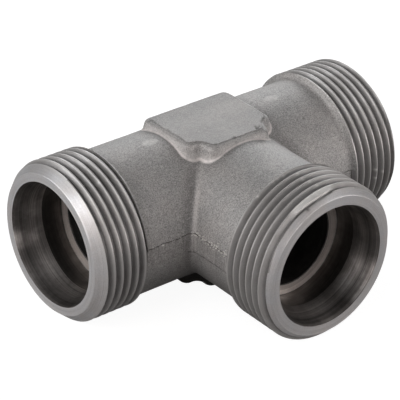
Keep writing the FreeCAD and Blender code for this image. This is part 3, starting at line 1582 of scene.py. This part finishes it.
@dataclass(frozen=True)
class BlastedSteel:
    """The forging's skin: shot blasted and phosphated, matt and finely grained."""

    name: str = "blasted_forging"
    colour: Colour = (0.36, 0.355, 0.35)
    warmth: Colour = (1.015, 0.997, 0.993)
    # Lighter metal of the shot specks, and painted highlight on the rolled crotches.
    wear_and_highlight: Colour = (0.58, 0.55, 0.535)
    # Painted highlight on the fillets and walls at the pads' feet.
    root_highlight: Colour = (0.70, 0.66, 0.645)
    # Bright spots: painted sheen on the necks' tops, and raised flecks.
    sheen_and_flecks: Colour = (0.60, 0.59, 0.575)
    pit: Colour = (0.09, 0.085, 0.08)
    streak: Colour = (0.17, 0.165, 0.16)
    # Near black: painted shade on the lower pad.
    stain_and_shade: Colour = (0.032, 0.03, 0.027)
    roughness: float = 0.6
    metallic: float = 0.35
    grain: float = 0.27
    grain_depth: float = 0.05
    lump: float = 1.1
    blotch: float = 7.0
    speck: float = 0.5
    streak_width: float = 0.45
    streak_squash: float = 0.13

    def ground(self, book: Shader, fine: Socket, coarse: Socket, blotch: Socket) -> Socket:
        """The skin's own colour with its grain, calmer and darker on the pads' flats.

        Args:
            book: The material in the making.
            fine: The finest noise.
            coarse: The noise of the small lumps.
            blotch: The noise of the large patches.

        Returns:
            The colour.
        """
        tone = book.times(book.about(fine, 1.0, 0.48), book.about(coarse, 1.0, 0.07),
                          book.about(blotch, 1.0, 0.07))
        on_flat = book.times(book.spread(book.mark("pad_edge"), -0.5, -0.1, 1.0, 0.0),
                             book.spread(book.mark("neck_gap"), 0.5, 0.8))
        calm = book.rest(book.times(on_flat, 0.4))
        tone = book.math("ADD", book.times(book.math("SUBTRACT", tone, 1.0), calm), 1.0)
        tone = book.math("SUBTRACT", tone, book.times(on_flat, 0.05))
        warm = tuple(part * share for part, share in zip(self.colour, self.warmth))
        return book.shade(book.tint(book.spread(blotch, 0.4, 0.6), self.colour, warm), tone)

    def painted_shade(self, book: Shader, broken: Socket) -> Socket:
        """How much painted shade darkens the skin at the pads' feet, in the crotches, towards the bottom and
        along the pads' ledge.

        Args:
            book: The material in the making.
            broken: A patchy share that breaks up long edges.

        Returns:
            Shares from 0 to 1.
        """
        neck_gap = book.mark("neck_gap")
        # Painted shade on the necks at the pads' feet.
        foot = book.times(book.spread(neck_gap, 0.08, 0.3, 1.0, 0.0),
                          book.spread(book.mark("pad_gap"), 0.4, 2.6, 0.2, 0.0))
        # Painted shade on the run's side of the crotches, and painted shade that grows towards the bottom.
        crotch = book.most(book.times(book.mark("roll_shade"), 0.3), book.times(book.mark("low_shade"), 0.58))
        # Painted shade along the ledge round the pads' flats.
        ledge = book.spread(book.math("ABSOLUTE", book.mark("pad_edge")), 0.06, 0.42, 0.3, 0.0)
        ledge = book.times(ledge, book.spread(neck_gap, 0.5, 0.8), broken)
        return book.most(foot, crotch, ledge)

    def painted_highlights(self, book: Shader, colour: Socket, broken: Socket) -> Socket:
        """Paints highlight on the rolled crotches and on the fillets and walls at the pads' feet.

        Args:
            book: The material in the making.
            colour: The colour so far.
            broken: A patchy share that breaks up long edges.

        Returns:
            The colour.
        """
        pad_gap, neck_gap = book.mark("pad_gap"), book.mark("neck_gap")
        on_neck = book.spread(neck_gap, 0.08, 0.3, 1.0, 0.0)
        # Painted highlight on the rolled crotches.
        roll = book.times(book.mark("roll_highlight"), 0.33, on_neck, broken)
        # Painted highlight on the fillet at the pads' feet, and on the walls next to it.
        fillet = book.spread(book.most(pad_gap, neck_gap), 0.26, 0.42, 0.9, 0.0)
        wall = book.times(book.spread(neck_gap, 0.15, 1.5, 0.42, 0.0),
                          book.spread(pad_gap, 0.03, 0.12, 1.0, 0.0))
        colour = book.tint(roll, colour, self.wear_and_highlight)
        return book.tint(book.times(book.most(fillet, wall), broken), colour, self.root_highlight)

    def specks(self, book: Shader, at: Socket) -> Socket:
        """Shares of the bright specks that single shots left.

        Args:
            book: The material in the making.
            at: The place of each point.

        Returns:
            Shares from 0 to 1.
        """
        cells = book.put("TexVoronoi", {"feature": "F1"}, Vector=at, Scale=1.0 / (self.speck * MM))
        shiny = book.put("SeparateColor", i0=cells.outputs["Color"]).outputs[0]
        return book.times(book.spread(cells.outputs["Distance"], 0.1, 0.3, 1.0, 0.0),
                          book.spread(shiny, 0.5, 0.95, 0.0, 0.95))

    def spotted(self, book: Shader, colour: Socket, fine: Socket, coarse: Socket) -> Socket:
        """Adds the bright spots, partly painted sheen on the necks' tops and partly raised flecks, and the
        dark pits.

        Args:
            book: The material in the making.
            colour: The colour so far.
            fine: The finest noise.
            coarse: The noise of the small lumps.

        Returns:
            The colour.
        """
        sheen_and_flecks = book.times(book.mark("sheen_and_flecks"), book.spread(fine, 0.3, 0.6, 0.6, 1.0),
                            book.spread(coarse, 0.35, 0.5, 0.6, 1.0))
        return book.tint(book.mark("pitted"), book.tint(sheen_and_flecks, colour, self.sheen_and_flecks), self.pit)

    def dragged(self, book: Shader, at: Socket, coarse: Socket) -> Socket:
        """Shares of the upright streaks that the trimming tool dragged down the land.

        Args:
            book: The material in the making.
            at: The place of each point.
            coarse: The noise of the small lumps.

        Returns:
            Shares from 0 to 1.
        """
        upright = book.put("Mapping", i0=at, Scale=(1.0, 1.0, self.streak_squash)).outputs[0]
        streak = book.times(book.noise(upright, self.streak_width, 2.0, 0.6), book.about(coarse, 1.0, 0.3))
        return book.times(book.mark("sheared"), book.spread(streak, 0.46, 0.66))

    def material(self) -> bpy.types.Material:
        """Builds the material: grain, blotches, bright specks, sheared land, painted shade in corners and
        below, and painted highlights on the crotches and the pads' feet.

        Returns:
            The material.
        """
        book = Shader(self.name)
        at = book.place()
        fine = book.noise(at, self.grain, 3.0, 0.6)
        coarse = book.noise(at, self.lump, 3.0, 0.55)
        broken = book.spread(coarse, 0.25, 0.6, 0.55, 1.0)
        dragged = self.dragged(book, at, coarse)
        colour = self.ground(book, fine, coarse, book.noise(at, self.blotch))
        # Painted shade at the pads' feet, in the crotches, towards the bottom and along the ledge.
        colour = book.shade(colour, book.rest(self.painted_shade(book, broken)))
        # Painted highlights on the rolled crotches and at the pads' feet.
        colour = self.painted_highlights(book, colour, broken)
        colour = book.tint(self.specks(book, at), colour, self.wear_and_highlight)
        # Bright spots, partly painted sheen on the necks' tops, and dark pits.
        colour = self.spotted(book, colour, fine, coarse)
        colour = book.tint(book.times(dragged, 0.42), colour, self.streak)
        seam = book.times(book.spread(book.mark("low_edge"), 0.08, 0.3, 0.75, 0.0), broken)
        colour = book.shade(colour, book.rest(seam))
        # Painted shade on the lower pad, nearly black.
        colour = book.tint(book.mark("underside_shade"), colour, self.stain_and_shade)
        height = book.math("ADD", fine, book.times(coarse, 0.8))
        height = book.math("SUBTRACT", height, book.times(dragged, 0.8))
        shader = book.put("BsdfPrincipled", Base_Color=colour, Metallic=self.metallic,
                          Roughness=book.about(fine, self.roughness, 0.07),
                          Normal=book.bump(height, self.grain_depth, 0.9))
        return book.finish(shader.outputs[0])


@dataclass(frozen=True)
class TurnedSteel:
    """Steel cut on the lathe: fine rings round the arm's axis, satin, with stains of the cutting oil,
    painted highlight on the crests and painted shade in the grooves.
    """

    name: str
    arm: Arm
    colour: Colour
    stain_and_shade: Colour
    roughness: float = 0.38
    metallic: float = 0.5
    ring: float = 0.12
    ring_depth: float = 0.006
    streaks: float = 0.3
    anisotropic: float = 0.35
    # Share of painted highlight on the crests.
    crest: float = 0.5
    # Colour of the crests' painted highlight.
    crest_highlight: Colour = (0.60, 0.59, 0.58)
    # Painted shade in the grooves, dents and notches.
    painted_shade: Colour = (0.055, 0.052, 0.05)
    fresh: Colour = (0.86, 0.85, 0.83)

    def lathe(self, book: Shader, at: Socket) -> Socket:
        """Distances along and from the arm's axis, so that noise on them makes turned rings.

        Args:
            book: The material in the making.
            at: The place of each point.

        Returns:
            The two distances as a vector, drifting a little so that the rings aren't perfect.
        """
        axis = tuple(float(value) for value in self.arm.axis)
        along = book.vector("DOT_PRODUCT", "Value", i0=at, i1=axis)
        out = book.vector("SUBTRACT", i0=at, i1=book.vector("SCALE", i0=axis, Scale=along))
        reach = book.vector("LENGTH", "Value", i0=out)
        turned = book.put("CombineXYZ", X=along, Y=reach, Z=0.0).outputs[0]
        return book.vector("ADD", i0=turned, i1=book.vector("SCALE", i0=at, Scale=0.012))

    def material(self) -> bpy.types.Material:
        """Builds the material: turning rings, streaks, stains, painted highlight on the crests, painted
        shade in the grooves and fresh knocks.

        Returns:
            The material.
        """
        book = Shader(self.name)
        at = book.place()
        lathe = self.lathe(book, at)
        rings = book.noise(lathe, self.ring, 3.0, 0.65)
        bands = book.noise(lathe, self.ring * 7.0)
        cloud = book.noise(at, 4.0, 3.0, 0.55)
        grit = book.noise(at, 0.3)
        tone = book.times(book.about(rings, 1.0, self.streaks * 0.5),
                          book.about(bands, 1.0, self.streaks * 0.6), book.about(grit, 1.0, 0.07))
        colour = book.tint(book.spread(cloud, 0.38, 0.66, 0.0, 0.8), self.colour, self.stain_and_shade)
        colour = book.shade(colour, tone)
        # Painted highlight on the crests.
        colour = book.tint(book.times(book.mark("crest"), self.crest), colour, self.crest_highlight)
        # Painted shade in the grooves.
        colour = book.tint(book.times(book.mark("groove"), 0.8), colour, self.painted_shade)
        colour = book.tint(book.mark("fresh"), colour, self.fresh)
        height = book.math("ADD", rings, book.times(grit, 0.3))
        round_axis = {"direction_type": "RADIAL", "axis": "Y" if self.arm is Arm.BRANCH else "X"}
        shader = book.put(
            "BsdfPrincipled", Base_Color=colour, Metallic=self.metallic,
            Roughness=book.spread(cloud, 0.3, 0.7, self.roughness - 0.05, self.roughness + 0.07),
            Normal=book.bump(height, self.ring_depth, 0.5), Anisotropic=self.anisotropic,
            Anisotropic_Rotation=0.25, Tangent=book.put("Tangent", round_axis).outputs[0])
        return book.finish(shader.outputs[0])


@dataclass(frozen=True)
class TornSteel:
    """Slivers on the parting line: dark ones along the line, or metal torn bright."""

    name: str
    colour: Colour
    deep: Colour
    roughness: float
    metallic: float

    def material(self) -> bpy.types.Material:
        """Builds the material: a broken tone and a coarse crumbled surface.

        Returns:
            The material.
        """
        book = Shader(self.name)
        crumb = book.noise(book.place(), 0.3, 3.0, 0.6)
        shader = book.put("BsdfPrincipled", Metallic=self.metallic,
                          Base_Color=book.tint(book.spread(crumb, 0.35, 0.65), self.deep, self.colour),
                          Roughness=book.about(crumb, self.roughness, -0.1),
                          Normal=book.bump(crumb, 0.04, 0.8))
        return book.finish(shader.outputs[0])


@dataclass(frozen=True)
class Finishes:
    """All the finishes of one tee body."""

    blasted: BlastedSteel = BlastedSteel()
    # The dark slivers along the parting line.
    scale: TornSteel = TornSteel("dark_parting_sliver", (0.14, 0.13, 0.12), (0.05, 0.047, 0.044), 0.75, 0.1)
    torn: TornSteel = TornSteel("torn_metal", (0.88, 0.86, 0.83), (0.52, 0.5, 0.48), 0.5, 0.2)

    @staticmethod
    def passage(place: str, arm: Arm) -> TurnedSteel:
        """The finish of the flow passages: a near black colour that paints the shade deep in the bores,
        which are hardly lit.
        """
        return TurnedSteel(f"{place}_passage", arm, (0.05, 0.047, 0.045), (0.02, 0.019, 0.018),
                           roughness=0.5, ring=0.4, streaks=0.4)

    def for_parting(self) -> Materials:
        """The materials of the slivers on the parting line."""
        return {Surface.SCALE: self.scale.material(), Surface.TORN: self.torn.material()}

    def for_middle(self) -> Materials:
        """The materials of the forged middle."""
        passage = self.passage("middle", Arm.RIGHT)
        return {Surface.BLASTED: self.blasted.material(), Surface.PASSAGE: passage.material()}

    def for_port(self, arm: Arm, look: FinishAndShading) -> Materials:
        """The materials of one arm end.

        Args:
            arm: The arm.
            look: The thread's and face's painted light, gloss and crests' painted highlight.

        Returns:
            A material for each kind of surface.
        """
        label = arm.label
        # The thread's and face's colours are lighter or darker copies that paint the light on this arm.
        thread = TurnedSteel(f"{label}_thread", arm, tinted((0.30, 0.295, 0.295), look.thread_painted_light),
                             tinted((0.24, 0.23, 0.225), look.thread_painted_light), look.thread_roughness,
                             look.thread_metallic, ring=0.1, streaks=0.16, crest=look.crest)
        face = TurnedSteel(f"{label}_face", arm, tinted((0.52, 0.52, 0.53), look.face_painted_light),
                           tinted((0.49, 0.47, 0.463), look.face_painted_light), roughness=0.42,
                           metallic=0.6, ring=0.16, streaks=0.2)
        cone = TurnedSteel(f"{label}_cone", arm, (0.40, 0.38, 0.37), (0.155, 0.143, 0.137),
                           roughness=0.35, metallic=0.95, ring=0.3, streaks=0.8, anisotropic=0.7)
        socket = TurnedSteel(f"{label}_socket", arm, (0.10, 0.095, 0.09), (0.05, 0.045, 0.042),
                             roughness=0.34, metallic=0.9, ring=0.3, streaks=0.5)
        stop = TurnedSteel(f"{label}_stop", arm, (0.78, 0.71, 0.67), (0.5, 0.45, 0.42),
                           roughness=0.34, metallic=0.8, ring=0.25, streaks=0.4)
        finishes = {Surface.THREAD: thread, Surface.FACE: face, Surface.CONE: cone,
                    Surface.SOCKET: socket, Surface.STOP: stop,
                    Surface.PASSAGE: self.passage(label, arm)}
        return {kind: finish.material() for kind, finish in finishes.items()}


@dataclass(frozen=True)
class Lamp:
    """A soft square studio light that points at the part."""

    name: str
    azimuth: float
    elevation: float
    power: float
    colour: Colour = (1.0, 1.0, 1.0)
    distance: float = 0.60
    size: float = 0.35

    def hang(self) -> bpy.types.Object:
        """Makes the light.

        Returns:
            The new light object.
        """
        data = bpy.data.lights.new(self.name, "AREA")
        data.shape = "SQUARE"
        data.size = self.size
        data.energy = self.power
        data.color = self.colour
        lamp = bpy.data.objects.new(self.name, data)
        back = Vector(sight(self.azimuth, self.elevation))
        lamp.location = back * self.distance
        lamp.rotation_mode = "QUATERNION"
        lamp.rotation_quaternion = (-back).to_track_quat("-Z", "Y")
        bpy.context.scene.collection.objects.link(lamp)
        return lamp


@dataclass
class Studio:
    """Floor, lights, background and camera of the photograph."""

    floor_level: float = -18.0
    floor_half: float = 1.6
    floor_glow: float = 0.93
    floor_mirrored_glow: float = 0.02
    floor_tones: tuple[float, float] = (0.21, 0.23)
    floor_mirrored: Colour = (0.3, 0.3, 0.3)
    floor_matt: Colour = (0.12, 0.12, 0.12)
    ambient: float = 0.006
    azimuth: float = -39.629
    elevation: float = 30.214
    roll: float = 1.509
    distance: float = 474.96
    across: float = -0.949
    rise: float = -3.126
    lens: float = 192.49
    lamps: tuple[Lamp, ...] = (
        Lamp("left_softbox", -80.0, 25.0, 1.02, (1.0, 0.955, 0.94)),
        Lamp("left_high_softbox", -80.0, 50.0, 0.56),
        Lamp("left_low_strip", -80.0, 6.0, 0.62, (1.0, 0.93, 0.90)),
        Lamp("back_left_softbox", -120.0, 25.0, 0.77),
        Lamp("back_left_low_strip", -120.0, 6.0, 0.89),
        Lamp("back_softbox", 150.0, 25.0, 1.22, (0.98, 0.99, 1.0)),
        Lamp("back_right_softbox", 116.0, 18.0, 1.36, (0.98, 0.99, 1.0)),
        Lamp("right_low_strip", 40.0, 6.0, 1.45, (1.0, 0.95, 0.93)),
        Lamp("right_high_fill", 40.0, 50.0, 0.28),
        Lamp("front_low_strip", 0.0, 6.0, 1.20, (1.0, 0.94, 0.92)),
    )

    def paper(self) -> bpy.types.Material:
        """Builds the floor's material: white to the camera, pale in reflections, matt as light.

        Returns:
            The material.
        """
        book = Shader("pale_floor")
        path = book.put("LightPath")
        mirrored = book.most(path.outputs["Is Glossy Ray"], path.outputs["Is Transmission Ray"])
        darker, lighter = ((tone,) * 3 for tone in self.floor_tones)
        cloud = book.tint(book.noise(book.place(), 40.0), darker, lighter)
        glow = book.put("Emission", Color=WHITE, Strength=self.floor_glow).outputs[0]
        paper = book.put("BsdfDiffuse", Color=cloud).outputs[0]
        white = book.put("AddShader", i0=glow, i1=paper).outputs[0]
        faint = book.put("Emission", Color=WHITE, Strength=self.floor_mirrored_glow).outputs[0]
        pale = book.put("BsdfDiffuse", Color=(*self.floor_mirrored, 1.0)).outputs[0]
        shown = book.put("AddShader", i0=faint, i1=pale).outputs[0]
        matt = book.put("BsdfDiffuse", Color=(*self.floor_matt, 1.0)).outputs[0]
        unseen = book.put("MixShader", i0=mirrored, i1=matt, i2=shown).outputs[0]
        seen = book.put("MixShader", i0=path.outputs["Is Camera Ray"], i1=unseen, i2=white)
        return book.finish(seen.outputs[0])

    def floor(self) -> bpy.types.Object:
        """Makes a pale floor that keeps the part's soft shadow.

        Returns:
            The new floor.
        """
        half, level = self.floor_half, self.floor_level * MM
        corners = [(-half, -half, level), (half, -half, level), (half, half, level), (-half, half, level)]
        mesh = bpy.data.meshes.new("floor")
        mesh.from_pydata(corners, [], [(0, 1, 2, 3)])
        mesh.materials.append(self.paper())
        floor = bpy.data.objects.new("floor", mesh)
        bpy.context.scene.collection.objects.link(floor)
        return floor

    def background(self) -> None:
        """White to the camera, a soft dim grey as light on the part."""
        world = bpy.data.worlds.new("studio")
        bpy.context.scene.world = world
        world.use_nodes = True
        tree = world.node_tree
        tree.nodes.clear()
        path = tree.nodes.new("ShaderNodeLightPath")
        mix = tree.nodes.new("ShaderNodeMixShader")
        out = tree.nodes.new("ShaderNodeOutputWorld")
        for place, strength in ((1, self.ambient), (2, 1.0)):
            glow = tree.nodes.new("ShaderNodeBackground")
            glow.inputs["Color"].default_value = WHITE
            glow.inputs["Strength"].default_value = strength
            tree.links.new(glow.outputs[0], mix.inputs[place])
        tree.links.new(path.outputs["Is Camera Ray"], mix.inputs[0])
        tree.links.new(mix.outputs[0], out.inputs["Surface"])

    def camera(self) -> bpy.types.Object:
        """Makes the camera of the photograph, found from the outlines of the three ports.

        Returns:
            The new camera.
        """
        back = sight(self.azimuth, self.elevation)
        level = np.cross(UP, back)
        level /= np.linalg.norm(level)
        plumb = np.cross(back, level)
        roll = math.radians(self.roll)
        right = math.cos(roll) * level + math.sin(roll) * plumb
        up = -math.sin(roll) * level + math.cos(roll) * plumb
        place = (back * self.distance + right * self.across + up * self.rise) * MM
        pose = np.eye(4)
        pose[:3] = np.stack([right, up, back, place], 1)
        data = bpy.data.cameras.new("camera")
        data.lens = self.lens
        data.sensor_width = 36.0
        data.clip_start, data.clip_end = 0.01, 20.0
        camera = bpy.data.objects.new("camera", data)
        camera.matrix_world = Matrix(pose.tolist())
        bpy.context.scene.collection.objects.link(camera)
        bpy.context.scene.camera = camera
        return camera

    def build(self) -> None:
        """Sets up the whole studio."""
        bpy.context.scene.view_settings.view_transform = "Standard"
        self.camera()
        self.background()
        self.floor()
        for lamp in self.lamps:
            lamp.hang()


@dataclass
class TeeBody:
    """The whole body: the forged middle and the three machined ends."""

    finishes: Finishes = Finishes()
    middle: ForgedMiddle = field(default_factory=ForgedMiddle)

    @staticmethod
    def left_port() -> PortEnd:
        """The left arm end, whose chamfer is clean of thread.

        Returns:
            The arm end with the knocks that it has taken.
        """
        return PortEnd(
            Arm.LEFT, face_radius=15.93, chamfer=2.35, first_crest=28.57, clean_chamfer=True,
            # A lighter copy of the face's finish paints the light on this face.
            look=FinishAndShading(face_painted_light=1.18),
            nicks=(Nick(40.3, 304.0, 0.35, 0.5, 0.12, 0.0), Nick(34.6, 335.0, 0.3, 0.4, 0.06, 0.5)))

    @staticmethod
    def right_port() -> PortEnd:
        """The right arm end.

        Returns:
            The arm end with the knocks that it has taken.
        """
        return PortEnd(
            Arm.RIGHT, face_radius=16.9, chamfer=1.0, first_crest=29.17,
            nicks=(Nick(35.5, 89.0, 0.3, 0.3, 0.08), Nick(37.7, 92.5, 0.3, 0.35, 0.08),
                   Nick(35.6, 96.0, 0.25, 0.3, 0.08)))

    @staticmethod
    def branch_port() -> PortEnd:
        """The branch's arm end, whose last crest is crushed over at the top.

        Returns:
            The arm end with the knocks that it has taken.
        """
        nicks = (
            Nick(39.95, 8.5, 0.4, 0.3, 0.3, -1.0), Nick(41.15, 23.0, 0.25, 0.4, 0.2, -1.0),
            Nick(31.5, 3.5, 0.12, 0.38, -0.02, 0.55), Nick(33.55, 5.0, 0.12, 0.42, -0.02, 0.55),
            Nick(35.45, 4.0, 0.12, 0.38, -0.02, 0.45), Nick(37.5, 3.5, 0.12, 0.38, -0.02, 0.5),
            Nick(29.6, 11.0, 0.12, 0.35, 0.03, 0.55), Nick(29.6, 16.0, 0.12, 0.4, 0.03, 0.45),
            Nick(29.6, 20.0, 0.12, 0.35, 0.03, 0.55), Nick(29.6, 35.0, 0.14, 0.3, 0.03, 0.8),
        )
        return PortEnd(
            Arm.BRANCH, face_radius=16.18, chamfer=1.8, first_crest=29.2, crest_highlight_reach=0.8,
            # The face is a lighter copy and the thread a darker one, painting the light on this arm; the
            # crests' painted highlight is weaker.
            look=FinishAndShading(face_painted_light=1.1, thread_painted_light=0.93, thread_roughness=0.5,
                         thread_metallic=0.3, crest=0.4),
            nicks=nicks, smears=(Smear(352.0, 37.0, 39.3, 40.65, 17.96, 0.33),))

    def build(self) -> list[bpy.types.Object]:
        """Builds and dresses every piece of the body.

        Returns:
            The pieces.
        """
        made = [self.middle.build(self.finishes.for_middle()),
                PartingLine(self.middle).build(self.finishes.for_parting())]
        for port in (self.left_port(), self.right_port(), self.branch_port()):
            made.append(port.build(self.finishes.for_port(port.arm, port.look)))
        return made


def main() -> None:
    """Builds the studio and the body, and reports each piece."""
    logging.basicConfig(level=logging.INFO, format="%(name)s: %(message)s")
    Studio().build()
    for piece in TeeBody().build():
        LOG.info("%s rides on %s", piece.name, BODY)


if __name__ == "__main__":
    main()
